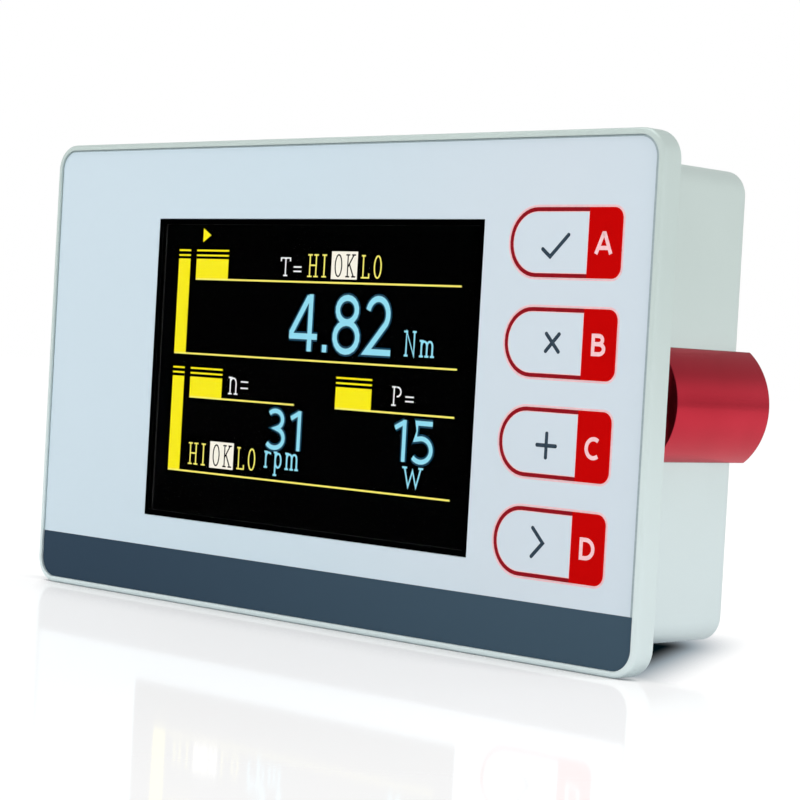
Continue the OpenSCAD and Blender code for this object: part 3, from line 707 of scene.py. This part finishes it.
def key_lip(letter):
    """A ring of print that starts just outside a key and stays on the film."""
    x, z = key_middle[letter]
    past = LIP_CLEAR + LIP_WIDTH
    half_w, half_h, corner = KEY_HALF_W + past, KEY_HALF_H + past, KEY_CORNER + past
    radii = (half_h - HAIR, corner, corner, half_h - HAIR)
    bm = flat_shape(x - half_w, x + half_w, z - half_h, z + half_h, radii)
    ring(bm, LIP_WIDTH)
    lip = thicken(bm, *FIRST_LAYER)
    return piece("key_" + letter + "_lip", lip, letter_ink, "root")


for letter in key_middle:
    key_lip(letter)
print("lips:", len(key_middle), "each", LIP_WIDTH, "mm wide")

# %% [markdown]
# A pen stroke starts as an edge as long as the pen is wide. Extruding that
# edge from point to point draws the stroke, and bevelling its last corners
# makes its ends round. Round signs are arcs, so a second helper gives the
# points along one. The same pen writes the display's numbers further down.

# %% A pen
INWARDS = Vector((0, 1, 0))
LONGEST_MITRE = 2.5


def arc(x, z, wide, tall, start, end, steps=18):
    """Points on an ellipse about x and z, from one angle to another in degrees."""
    turns = [math.radians(start + (end - start) * i / steps) for i in range(steps + 1)]
    return [(x + wide * math.cos(t), z + tall * math.sin(t)) for t in turns]


def stroke(path, pen, round_ends=False):
    """A flat line as wide as the pen along a path of points, all in mm."""
    bm = bmesh.new()
    points = [Vector((px, 0, pz)) * mm for px, pz in path]
    ways = [(b - a).normalized() for a, b in zip(points, points[1:])]
    closed = (points[0] - points[-1]).length < SAME_POINT
    edge = None
    for i, point in enumerate(points):
        before = ways[i - 1] if i or closed else ways[0]
        after = ways[i % len(ways)] if i < len(ways) or closed else ways[-1]
        side = INWARDS.cross((before + after).normalized())
        side *= pen / 2 * mm / max(1 / LONGEST_MITRE, side.dot(INWARDS.cross(before)))
        if edge is None:
            edge = bm.edges.new([bm.verts.new(point - side), bm.verts.new(point + side)])
            continue
        made = bmesh.ops.extrude_edge_only(bm, edges=[edge])["geom"]
        ends = [v for v in made if isinstance(v, bmesh.types.BMVert)]
        edges = [e for e in made if isinstance(e, bmesh.types.BMEdge)]
        edge = next(e for e in edges if set(e.verts) == set(ends))
        ends.sort(key=lambda v: (v.co - points[i - 1]).dot(side))
        ends[0].co, ends[1].co = point - side, point + side
    if closed:
        bmesh.ops.remove_doubles(bm, verts=bm.verts, dist=SAME_POINT)
    elif round_ends:
        tips = [v for v in bm.verts
                if min((v.co - point).length for point in (points[0], points[-1])) < 0.6 * pen * mm]
        bmesh.ops.bevel(bm, geom=tips, offset=0.48 * pen * mm, segments=5, profile=0.5,
                        affect="VERTICES", material=-1)
    return bm


def drawn(paths, pen, back, height, round_ends=False):
    """Strokes as one print. Each lies a hair higher than the last, so that none share a face."""
    lines = [thicken(stroke(path, pen, round_ends), back, back - height * (1 + 0.1 * i))
             for i, path in enumerate(paths)]
    return joined(*lines)


print("a round sign has", len(arc(0, 0, 1, 1, 0, 360)), "points")

# %% [markdown]
# The keys' plain signs and letters are paths in mm, counted from the middle of
# their key. The signs have round ends, as drawn by a plotter, and the letters
# square ones.

# %% Signs and letters on the keys
SIGN_PEN = 0.6
LETTER_PEN = 0.62
SIGNS = {
    "a": [[(-4.55, -0.85), (-2.8, -2.15), (0.8, 1.35)]],
    "b": [[(-2.85, -1.5), (0.05, 1.55)], [(-2.85, 1.55), (0.05, -1.5)]],
    "c": [[(-3.55, -0.35), (0.65, -0.35)], [(-1.45, -2.45), (-1.45, 1.75)]],
    "d": [[(-3.35, 2.4), (-1.05, 0.05), (-3.35, -2.3)]],
}
LETTERS = {
    "a": [[(6.0, -1.65), (7.28, 1.38), (7.52, 1.38), (8.8, -1.65)], [(6.6, -0.75), (8.2, -0.75)]],
    "b": [[(6.45, -1.65), (6.45, 1.65)],
          [(6.45, 1.35)] + arc(7.45, 0.74, 0.75, 0.61, 90, -90, 10) + [(6.45, 0.13)],
          [(6.45, 0.13)] + arc(7.6, -0.61, 0.9, 0.74, 90, -90, 10) + [(6.45, -1.35)]],
    "c": [arc(7.65, -0.2, 1.35, 1.4, 52, 308, 24)],
    "d": [[(6.4, -1.65), (6.4, 1.65)],
          [(6.4, 1.35)] + arc(7.25, 0.0, 1.4, 1.35, 90, -90, 16) + [(6.4, -1.35)]],
}
for letter, (x, z) in key_middle.items():
    body = "key_" + letter
    sign, mark = ([[(x + dx, z + dz) for dx, dz in path] for path in paths[letter]]
                  for paths in (SIGNS, LETTERS))
    sign = drawn(sign, SIGN_PEN, film_y, INK, round_ends=True)
    mark = drawn(mark, LETTER_PEN, film_y - 2 * INK, INK)
    piece(body + "_sign", sign, symbol_ink, body)
    piece(body + "_letter", mark, letter_ink, body)
print("signs and letters:", sorted(SIGNS))

# %% [markdown]
# ## The picture on the display
# The display shows three readings with their units. Yellow bars and rules
# divide them, and plain marks say whether a reading is high, in order or low.
# The marks lie on the display's glass, behind the window, and their places
# are counted from the left and the top of what the window shows.

# %% Bars and rules
VIEW_SHIFT = 0.75
LIT = 0.03
RULE = 0.3
SECOND_RULE = 0.85
window_low, window_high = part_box("display_window")
VIEW_LEFT = window_low.x / mm - VIEW_SHIFT
VIEW_TOP = window_high.z / mm
glass_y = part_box("display_glass")[0].y / mm


def shown(name, boxes, finish):
    """Lit rectangles, each as left, right, top and bottom from the view's left and top."""
    shapes = [flat_shape(VIEW_LEFT + left, VIEW_LEFT + right, VIEW_TOP - bottom, VIEW_TOP - top)
              for left, right, top, bottom in boxes]
    bm = thicken(joined(*shapes), glass_y, glass_y - LIT)
    return piece(name, bm, finish, "root")


def capped_bar(left, right, top, bottom, rise):
    """A bar with two thin rules over it. The upper one starts rise mm above the bar."""
    upper, lower = top - rise, top - rise + SECOND_RULE
    return [(left, right, top, bottom), (left, right, upper, upper + RULE),
            (left, right, lower, lower + RULE)]


def rule(left, right, top):
    return (left, right, top, top + RULE)


TALL, LABEL, POWER_LABEL, RULE_END = (5.1, 8.1), (9.75, 18.0), (45.8, 54.0), 72.3
torque_bars = capped_bar(*TALL, 6.8, 23.1, 1.6) + capped_bar(*LABEL, 6.8, 10.15, 1.6)
speed_bars = capped_bar(*TALL, 27.25, 43.5, 1.65) + capped_bar(*LABEL, 27.25, 30.6, 1.65)
torque_rules = [rule(LABEL[0], RULE_END, 10.15), rule(TALL[0], RULE_END, 23.1)]
speed_rules = [rule(LABEL[0], 36.1, 30.6), rule(TALL[0], RULE_END, 43.5)]
shown("torque_bars", torque_bars, yellow_light)
shown("torque_rules", torque_rules, pale_yellow_light)
shown("speed_bars", speed_bars, yellow_light)
shown("speed_rules", speed_rules, pale_yellow_light)
shown("power_bars", capped_bar(*POWER_LABEL, 27.25, 30.6, 1.65), yellow_light)
shown("power_rule", [rule(POWER_LABEL[0], RULE_END, 30.6)], pale_yellow_light)


def run_mark(left, right, top, bottom):
    """A triangle that points right, in the display's corner: the meter measures."""
    bm = flat_shape(VIEW_LEFT + left, VIEW_LEFT + right, VIEW_TOP - bottom, VIEW_TOP - top)
    tips = [v for v in bm.verts if v.co.x > (VIEW_LEFT + (left + right) / 2) * mm]
    bmesh.ops.pointmerge(bm, verts=tips, merge_co=sum((v.co for v in tips), Vector()) / 2)
    mark = thicken(bm, glass_y, glass_y - LIT)
    return piece("run_mark", mark, yellow_light, "root")


run_mark(11.2, 13.2, 1.5, 3.9)
print("the view starts at x =", round(VIEW_LEFT, 2), "and z =", round(VIEW_TOP, 2), "mm")

# %% [markdown]
# Every number and unit is written with the pen, in strokes of one width, as
# such displays draw them. A sign is its width and a list of paths, in a box one
# high, and a bar across the end of a stem makes a foot.

# %% How the display draws its signs
FOOT = 0.13
SPACE = 0.14


def foot(x, z):
    """A short bar across the end of an upright."""
    return [(x - FOOT, z), (x + FOOT, z)]


def stem(x, low=0.0, high=1.0):
    """An upright with a foot at both ends."""
    return [[(x, low), (x, high)], foot(x, low), foot(x, high)]


WRITTEN = {
    "4": (0.78, [[(0.57, 0.0), (0.57, 1.0)], [(0.52, 0.96), (0.04, 0.30)],
                 [(0.0, 0.26), (0.78, 0.26)]]),
    ".": (0.16, [[(0.08, 0.0), (0.08, 0.13)]]),
    "8": (0.72, [arc(0.36, 0.75, 0.26, 0.21, -90, 270), arc(0.36, 0.28, 0.31, 0.25, 90, 450)]),
    "2": (0.70, [arc(0.33, 0.69, 0.27, 0.27, 165, -35, 14) + [(0.06, 0.05), (0.70, 0.05)]]),
    "3": (0.64, [arc(0.27, 0.74, 0.25, 0.22, 140, -90, 14)
                 + arc(0.27, 0.275, 0.30, 0.245, 90, -145, 16)[1:]]),
    "1": (0.40, [[(0.02, 0.80), (0.30, 0.95)], [(0.30, 0.0), (0.30, 1.0)]]),
    "5": (0.64, [[(0.58, 0.95), (0.12, 0.95), (0.09, 0.56)]
                 + arc(0.27, 0.31, 0.30, 0.28, 105, -140, 16)[1:]]),
    "0": (0.64, [arc(0.32, 0.5, 0.27, 0.46, 0, 360)]),
    "6": (0.64, [arc(0.32, 0.3, 0.27, 0.27, 0, 360), arc(0.52, 0.42, 0.47, 0.54, 100, 195, 10)]),
    "7": (0.64, [[(0.05, 0.95), (0.58, 0.95), (0.22, 0.0)]]),
    "9": (0.64, [arc(0.32, 0.68, 0.27, 0.27, 0, 360), arc(0.12, 0.56, 0.47, 0.54, -80, 15, 10)]),
    "N": (0.95, [[(0.2, 0), (0.2, 1), (0.75, 0), (0.75, 1)],
                 foot(0.2, 0), foot(0.15, 1), foot(0.75, 1)]),
    "m": (1.15, [*stem(0.18, 0, 0.64), arc(0.37, 0.42, 0.19, 0.2, 180, 0, 8) + [(0.56, 0)],
                 arc(0.75, 0.42, 0.19, 0.2, 180, 0, 8) + [(0.94, 0)],
                 foot(0.56, 0), foot(0.94, 0)]),
    "r": (0.62, [*stem(0.2, 0, 0.64), arc(0.42, 0.4, 0.22, 0.22, 180, 45, 8)]),
    "p": (0.75, [*stem(0.18, -0.3, 0.64), arc(0.40, 0.31, 0.22, 0.29, -180, 180)]),
    "W": (1.1, [[(0.1, 1), (0.33, 0), (0.55, 0.85), (0.77, 0), (1.0, 1)],
                foot(0.1, 1), foot(1.0, 1)]),
    "H": (0.7, [*stem(0.16), *stem(0.54), [(0.16, 0.52), (0.54, 0.52)]]),
    "I": (0.4, stem(0.2)),
    "O": (0.7, [arc(0.35, 0.5, 0.23, 0.5, 0, 360)]),
    "K": (0.7, [*stem(0.16), [(0.56, 1), (0.16, 0.42)], [(0.27, 0.58), (0.58, 0)],
                foot(0.56, 1), foot(0.58, 0)]),
    "L": (0.7, [*stem(0.2), [(0.2, 0), (0.6, 0), (0.6, 0.2)]]),
    "T": (0.7, [*stem(0.35), [(0.05, 0.82), (0.05, 1), (0.65, 1), (0.65, 0.82)]]),
    "n": (0.7, [*stem(0.16, 0, 0.64), arc(0.36, 0.42, 0.2, 0.2, 180, 0, 8) + [(0.56, 0)],
                foot(0.56, 0)]),
    "P": (0.7, [*stem(0.18), arc(0.36, 0.74, 0.24, 0.26, 90, -90, 10)]),
    "=": (0.6, [[(0.05, 0.25), (0.55, 0.25)], [(0.05, 0.5), (0.55, 0.5)]]),
}


def write(text, box):
    """The paths of a text that fills a box: left, right, top and bottom from the view's corner."""
    left, right, top, bottom = box
    wide = sum(WRITTEN[sign][0] for sign in text) + SPACE * (len(text) - 1)
    across, up, paths = (right - left) / wide, bottom - top, []
    start = 0.0
    for sign in text:
        width, strokes = WRITTEN[sign]
        for path in strokes:
            paths.append([(VIEW_LEFT + left + (start + x) * across, VIEW_TOP - bottom + z * up)
                          for x, z in path])
        start += width + SPACE
    return paths


def shown_text(name, text, box, pen, finish, layer=1):
    """A text that the display shows, in the first or the second layer on its glass."""
    bm = drawn(write(text, box), pen, glass_y - LIT * (layer - 1), LIT)
    return piece(name, bm, finish, "root")


print("the pen knows", len(WRITTEN), "signs")

# %% [markdown]
# The readings glow a little, so the same strokes with a wider pen lie behind
# them in a dim blue.

# %% Readings, units and marks
GLOW = 0.62
MARK_PEN = 0.24
READINGS = {
    "torque_reading": ("4.82", (34.1, 57.7, 12.3, 21.75), 0.98),
    "speed_reading": ("31", (29.9, 38.4, 31.7, 38.35), 0.76),
    "power_reading": ("15", (59.6, 68.3, 31.7, 38.35), 0.76),
}
UNITS = {
    "torque_unit": ("Nm", (60.5, 67.5, 17.7, 21.5), 0.32),
    "speed_unit": ("rpm", (29.4, 38.2, 37.5, 41.5), 0.32),
    "power_unit": ("W", (61.9, 66.2, 39.2, 42.2), 0.32),
}
for name, (text, box, pen) in READINGS.items():
    shown_text(name + "_glow", text, box, pen + GLOW, glow_light)
    shown_text(name, text, box, pen, cyan_light, layer=2)
for name, (text, box, pen) in UNITS.items():
    shown_text(name, text, box, pen, cyan_light)
MARK_PLACES = {"torque": (37.5, 5.8), "speed": (10.2, 38.75)}
QUANTITIES = {
    "torque": ("T=", (31.0, 36.3, 6.4, 9.3)),
    "speed": ("n=", (19.6, 24.8, 25.4, 29.7)),
    "power": ("P=", (58.4, 63.6, 26.6, 29.5)),
}
for name, (left, top) in MARK_PLACES.items():
    bottom = top + 3.55
    high = (left, left + 4.8, top, bottom)
    field = (left + 5.7, left + 11.7, top - 0.65, bottom + 0.35)
    in_order = (left + 6.2, left + 11.3, top - 0.1, bottom - 0.1)
    low = (left + 12.4, left + 17.5, top, bottom)
    shown_text(name + "_high", "HI", high, MARK_PEN, pale_yellow_light)
    shown(name + "_in_order_box", [field], cream_light)
    shown_text(name + "_in_order", "OK", in_order, MARK_PEN, glass_finish, layer=2)
    shown_text(name + "_low", "LO", low, MARK_PEN, pale_yellow_light)
for name, (text, box) in QUANTITIES.items():
    shown_text(name + "_quantity", text, box, MARK_PEN, white_light)
print("readings:", {k: v[0] for k, v in READINGS.items()})

# %% [markdown]
# ## Terminal numbers
# The terminals on the rear are numbered, so that wires go to the right ones.
# The numbers are printed on the cover below each terminal of the upper strip
# and above each one of the lower. They are read from the rear, so they run
# towards -X.

# %% Numbers on the rear cover
TERMINALS = 10
PITCH = 7.62
DIGIT_TALL = 2.2
DIGIT_WIDE = 1.15
DIGIT_PEN = 0.34
FROM_STRIP = 1.2
rear_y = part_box("rear_cover")[1].y / mm


def terminal_numbers(name, first, low_z):
    """One number under or over each terminal of a strip, from first on, with its foot at low_z."""
    paths = []
    for i in range(TERMINALS):
        text = str(first + i)
        middle_x = PITCH * ((TERMINALS - 1) / 2 - i)
        for k, digit in enumerate(text):
            start = middle_x + DIGIT_WIDE * (len(text) * 0.6 - 0.05 - 1.2 * k)
            for path in WRITTEN[digit][1]:
                paths.append([(start - x / 0.7 * DIGIT_WIDE, low_z + z * DIGIT_TALL)
                              for x, z in path])
    return piece(name, drawn(paths, DIGIT_PEN, rear_y, -INK), symbol_ink, "root")


upper_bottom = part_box("terminal_strip_upper")[0].z / mm
lower_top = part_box("terminal_strip_lower")[1].z / mm
terminal_numbers("terminal_numbers_upper", 1, upper_bottom - FROM_STRIP - DIGIT_TALL)
terminal_numbers("terminal_numbers_lower", 1 + TERMINALS, lower_top + FROM_STRIP)
print("terminal numbers: 1 to", 2 * TERMINALS)

# %% [markdown]
# ## Floor and room
# The meter stands on a pale glossy table in a white room. The room's white is
# the world's, which the camera sees as pure white, while the light that it
# gives to the meter stays at a plain level. The floor is mostly white light
# to the eye too, with a real floor's shade mixed in, and a thin mirror on it.
# Its shadow is drawn where a front lamp would cast it: under the meter and as
# a wedge behind it, black where it is deep and blue at its soft edge. It is
# fixed to the floor, so every view sees the same shadow.

# %% Floor
CONTACT_REACH = 38 * mm
MIRROR_SHARE = 0.2
WEDGE_SLANT = 0.45
WEDGE_EDGE = (56 * mm, 72.5 * mm)
SHADOW_END = (16 * mm, 48 * mm)
SIDES_REACH = 9 * mm
RAYS = ("Camera", "Glossy", "Transmission")


def floor_finish():
    """White to the eye, a real floor to the lamps except for a painted shade beside and behind the
    meter, and a painted shadow under the meter and behind it.
    """
    finish = Finish("floor_white", Roughness=0.5)
    seen, mirrored, through = (finish.add("ShaderNodeLightPath", out="Is " + ray + " Ray")
                               for ray in RAYS)
    looked_at = (seen + mirrored + through).clamped()
    x, y, _ = finish.axes(finish.place())
    behind = y.step(-16 * mm, -8 * mm)

    # What the eye sees is pale. To the lamps the floor is painted darker beside and behind the
    # meter, a painted shade that throws less light up at it.
    dust = finish.grain(40 * mm, detail=2.0)
    pale = finish.mix(dust, (0.93, 0.94, 0.95), (0.96, 0.97, 0.98))
    painted_shade_beside = behind * (1 - abs(x).step(68 * mm, 115 * mm)) * (1 - y.step(20 * mm, 70 * mm))
    to_lamps_painted_shade = finish.mix(painted_shade_beside, (0.88, 0.89, 0.9), (0.16, 0.18, 0.21))
    finish.feed("Base Color", finish.mix(looked_at, to_lamps_painted_shade, pale))

    # The shadow: a tight line in front, where something is close above, and the wedge behind.
    reach = {"Distance": CONTACT_REACH}
    open_above = finish.add("ShaderNodeAmbientOcclusion", {"samples": 8}, reach, out="AO")
    near = (1 - behind) * (1 - open_above.step(0.3, 0.64))
    wedge = 1 - (abs(x) + WEDGE_SLANT * y).step(*WEDGE_EDGE)
    past = y - SIDES_REACH * abs(x).step(18 * mm, 44 * mm)
    cast = behind * wedge * (1 - past.step(*SHADOW_END))
    covered = near.math("MAXIMUM", near, cast)
    behind_shade = finish.mix(cast.step(0.7, 1.0), (0.0, 0.07, 0.12), (0.0, 0.004, 0.006))
    shade_tint = finish.mix(behind, (0.02, 0.032, 0.045), behind_shade)

    # Far from the meter the floor is bare white light.
    away = (x * x + y * y).step(0.002, 0.03)
    bare = away.math("MAXIMUM", 0.68 + 0.32 * away, 0.92 * behind)

    def blend(share, first, second):
        return finish.add("ShaderNodeMixShader", {}, {0: share, 1: first, 2: second})

    def glow(tint, strength):
        return finish.add("ShaderNodeEmission", {}, {"Color": tint, "Strength": strength})

    lit_floor = Wire(finish, finish.shader.outputs[0])
    mirror = finish.add("ShaderNodeBsdfGlossy", {}, {"Color": (1, 1, 1), "Roughness": 0.06})
    lifted = blend(looked_at * bare, lit_floor, glow((1, 1, 1), 1.17))
    shaded = blend(looked_at * covered, lifted, glow(shade_tint, 1.0))
    shine = blend(MIRROR_SHARE * (1 - cast), shaded, mirror)
    finish.join(finish.tree.nodes["Material Output"].inputs["Surface"], shine)
    return finish


def floor_plane():
    bm = bmesh.new()
    bmesh.ops.create_grid(bm, x_segments=8, y_segments=8, size=3.0)
    mesh = bpy.data.meshes.new("floor")
    bm.to_mesh(mesh)
    bm.free()
    floor = bpy.data.objects.new("floor", mesh)
    bpy.context.scene.collection.objects.link(floor)
    mesh.materials.append(floor_finish().material)
    return floor


print("floor:", len(floor_plane().data.polygons), "faces at z = 0")

# %% [markdown]
# Gloss needs something to mirror. A reflection sees the room's walls, which
# are brightest a little above the horizon, so that the silver and the red bar
# get a soft band of light, and grey higher up.

# %% Room
ROOM_LIGHT = 0.28
NADIR, ZENITH = (0.0, 0.9), (1.0, 0.3)
WALLS = [NADIR, ZENITH, (0.5, 0.38), (0.54, 0.75), (0.62, 0.85), (0.75, 0.45)]


def white_room(strength, heights):
    """A world that is white to the eye and lights the meter with strength.

    A reflection sees the walls, whose levels are given by height from the nadir to the zenith.
    """
    world = bpy.data.worlds.new("white_room")
    world.use_nodes = True
    room = Nodes(world.node_tree)
    seen, mirrored, through = (room.add("ShaderNodeLightPath", out="Is " + ray + " Ray")
                               for ray in RAYS)
    direction = room.add("ShaderNodeTexCoord", out="Generated")
    height = room.add("ShaderNodeSeparateXYZ", {}, {0: direction}, out="Z") * 0.5 + 0.5
    stops = [(place, (level,) * 3) for place, level in heights]
    walls = room.add("ShaderNodeValToRGB", {"stops": stops}, {0: height})
    walls.socket.node.color_ramp.interpolation = "EASE"
    light = room.add("ShaderNodeMix", {}, {"Factor": mirrored, "A": strength, "B": walls})
    white = {"Factor": seen.math("MAXIMUM", seen, through), "A": light, "B": 1.0}
    background = room.tree.nodes["Background"]
    room.join(background.inputs["Strength"], room.add("ShaderNodeMix", {}, white))
    room.join(background.inputs["Color"], (1, 1, 1))
    bpy.context.scene.world = world


white_room(ROOM_LIGHT, WALLS)
print("room: its walls have", len(WALLS), "levels")

# %% [markdown]
# ## Lamps
# Five large soft lamps, from above and from each side, give the shape. Only
# the one above shows in a reflection, because the others would burn white
# patches into the silver.

# %% Lamps
MIDDLE = (0, 0, 0.04)
LAMPS = {
    "lamp_above": ((-0.1, -0.1, 0.9), 0.8, 2.8),
    "lamp_front": ((-0.5, -0.9, 0.5), 0.7, 5.8),
    "lamp_right": ((0.9, -0.1, 0.4), 0.6, 4.6),
    "lamp_left": ((-0.9, 0.2, 0.4), 0.6, 1.6),
    "lamp_behind": ((0.3, 1.1, 0.5), 0.8, 4.0),
}


def soft_lamp(name, spot, size, power):
    """A square lamp that faces the meter. Its size is in metres and its power in watts."""
    data = bpy.data.lights.new(name, "AREA")
    data.shape, data.size, data.energy = "SQUARE", size, power
    lamp = bpy.data.objects.new(name, data)
    lamp.location = spot
    way = Vector(MIDDLE) - Vector(spot)
    lamp.rotation_euler = way.to_track_quat("-Z", "Y").to_euler()
    lamp.visible_glossy = name == "lamp_above"
    bpy.context.scene.collection.objects.link(lamp)


for name, (spot, size, power) in LAMPS.items():
    soft_lamp(name, spot, size, power)
print("lamps:", ", ".join(LAMPS))

# %% [markdown]
# ## Camera
# The camera stands in front of the meter and as far to its right, at half its
# height. Its place and its turn were fitted to the corners of the face, the
# window and the housing in the photograph, and so was its long lens, which
# keeps the sides nearly parallel.

# %% Camera
CAMERA_PLACE = (0.27874, -0.28380, 0.04539)
CAMERA_TURN = (88.8645, -3.2247, 43.8909)
CAMERA_LENS = 106.307
camera_data = bpy.data.cameras.new("camera")
camera_data.sensor_width = 36.0
camera_data.lens = CAMERA_LENS
camera_data.clip_start, camera_data.clip_end = 0.01, 20.0
camera = bpy.data.objects.new("camera", camera_data)
camera.location = CAMERA_PLACE
camera.rotation_euler = [math.radians(a) for a in CAMERA_TURN]
bpy.context.scene.collection.objects.link(camera)
bpy.context.scene.camera = camera
bpy.context.scene.view_settings.view_transform = "Standard"
print("lens:", CAMERA_LENS, "mm")
